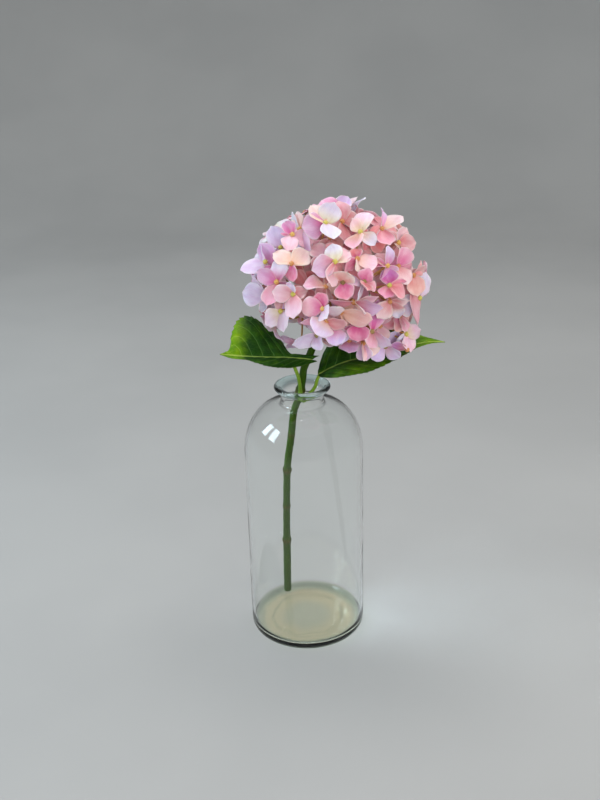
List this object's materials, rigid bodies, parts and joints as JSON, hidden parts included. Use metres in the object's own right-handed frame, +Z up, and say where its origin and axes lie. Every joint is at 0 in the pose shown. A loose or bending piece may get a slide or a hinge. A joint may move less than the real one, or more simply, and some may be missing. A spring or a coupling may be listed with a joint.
{
  "type": "hydrangea in a jar",
  "caption": "Cut mophead hydrangea, pink and lilac, on a leafy green stem in a clear glass bottle vase with a short neck and flared lip.",
  "frame": {"origin": "centre of the jar's flat base, on the surface it stands on", "axes": "+Z up along the jar, +X to the right and +Y away as seen from the side that the head leans across to the right; the head leans towards +X"},
  "size_m": [0.2001, 0.1799, 0.424],
  "materials": {
    "clear_glass": "smooth clear soda glass, faint green at the thick base and lip",
    "stem_green": "satin green bark with paler lenticels, darker at the nodes",
    "leaf_green": "soft sheen, dark green with pale veins, lime at one margin",
    "ray_olive": "matt olive to ochre flower stalks",
    "petal_lilac": "matt velvety lilac petals, pale rims, fine veins, yellow eyes",
    "petal_pink": "matt velvety pink petals, deeper at the eye, pale rims, fine veins",
    "petal_cream": "matt velvety cream and dusty rose petals, fine veins"
  },
  "bodies": {
    "root": {"jar": "clear_glass", "leaf_left": "leaf_green", "leaf_right": "leaf_green", "ray_1": "ray_olive", "ray_2": "ray_olive", "ray_3": "ray_olive", "ray_4": "ray_olive", "ray_5": "ray_olive", "ray_6": "ray_olive", "ray_7": "ray_olive", "ray_8": "ray_olive", "ray_9": "ray_olive", "sprig_01": "petal_lilac", "sprig_02": "petal_pink", "sprig_03": "petal_lilac", "sprig_04": "petal_lilac", "sprig_05": "petal_lilac", "sprig_06": "petal_pink", "sprig_07": "petal_cream", "sprig_08": "petal_pink", "sprig_09": "petal_pink", "sprig_10": "petal_pink", "sprig_11": "petal_pink", "sprig_12": "petal_lilac", "sprig_13": "petal_pink", "sprig_14": "petal_lilac", "sprig_15": "petal_cream", "sprig_16": "petal_lilac", "sprig_17": "petal_pink", "sprig_18": "petal_lilac", "sprig_19": "petal_pink", "sprig_20": "petal_lilac", "sprig_21": "petal_cream", "sprig_22": "petal_lilac", "sprig_23": "petal_pink", "sprig_24": "petal_pink", "sprig_25": "petal_cream", "sprig_26": "petal_cream", "sprig_27": "petal_cream", "sprig_28": "petal_lilac", "sprig_29": "petal_pink", "sprig_30": "petal_cream", "sprig_31": "petal_pink", "sprig_32": "petal_pink", "sprig_33": "petal_cream", "sprig_34": "petal_pink", "sprig_35": "petal_cream", "sprig_36": "petal_pink", "sprig_37": "petal_pink", "sprig_38": "petal_lilac", "sprig_39": "petal_lilac", "sprig_40": "petal_lilac", "sprig_41": "petal_lilac", "sprig_42": "petal_lilac", "sprig_43": "petal_cream", "sprig_44": "petal_pink", "sprig_45": "petal_cream", "sprig_46": "petal_pink", "sprig_47": "petal_pink", "stem": "stem_green"}
  },
  "joints": []
}
